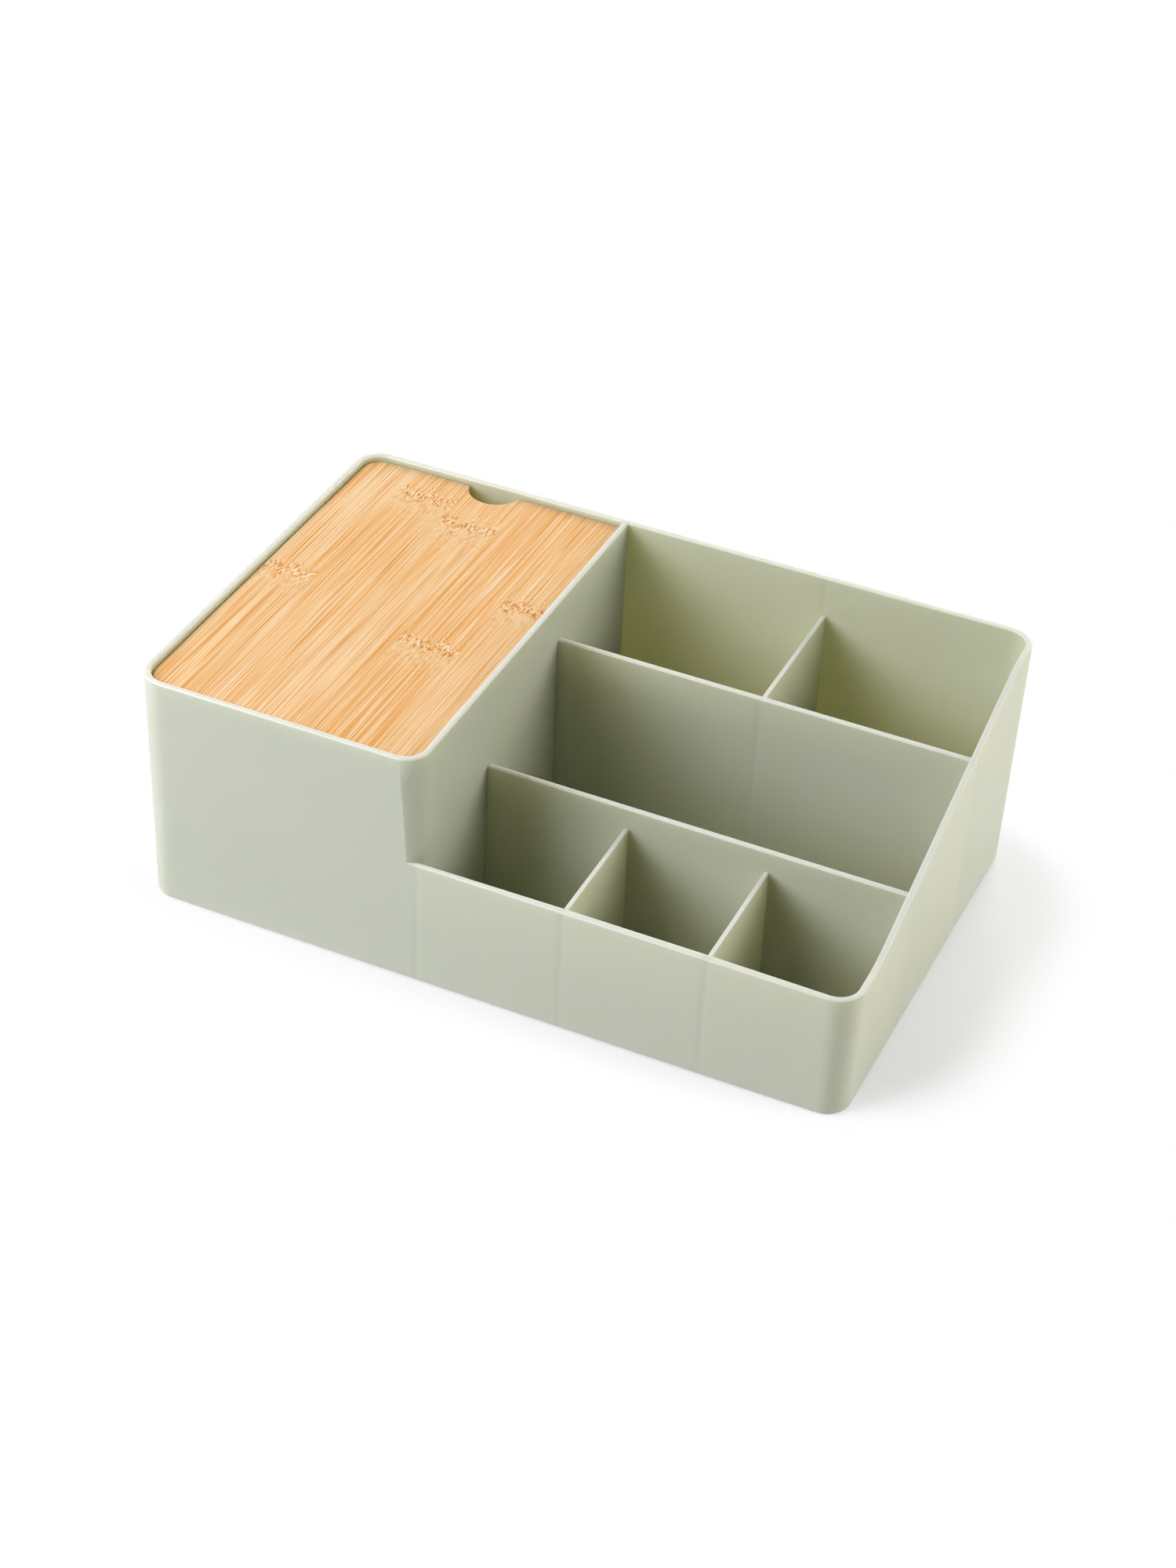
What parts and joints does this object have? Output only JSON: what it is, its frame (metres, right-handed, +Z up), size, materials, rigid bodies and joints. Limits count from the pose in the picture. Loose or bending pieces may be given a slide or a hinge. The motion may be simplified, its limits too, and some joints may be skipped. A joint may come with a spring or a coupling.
{
  "type": "vanity organizer",
  "caption": "Low rectangular tray with a lidded box at its left and open compartments stepping down to the front, with a lift-out wooden lid.",
  "frame": {"origin": "centre of the outline on the surface that the tray stands on", "axes": "+X to the right along the long side, away from the lidded box; +Y to the back; +Z up"},
  "size_m": [0.28, 0.1806, 0.0985],
  "materials": {
    "tray": "fine satin moulded surface, pale sage green",
    "lid": "clear matt varnish over pale bamboo",
    "foot": "matt, pale grey"
  },
  "bodies": {
    "tray": {"tray_body": "tray", "foot_front_left": "foot", "foot_front_right": "foot", "foot_back_left": "foot", "foot_back_right": "foot"},
    "lid": {"bamboo_lid": "lid"}
  },
  "joints": [
    {"name": "lid_lift", "type": "slide", "parent": "tray", "child": "lid", "axis": [0, 0, 1], "range_m": [0, 0.06]}
  ]
}
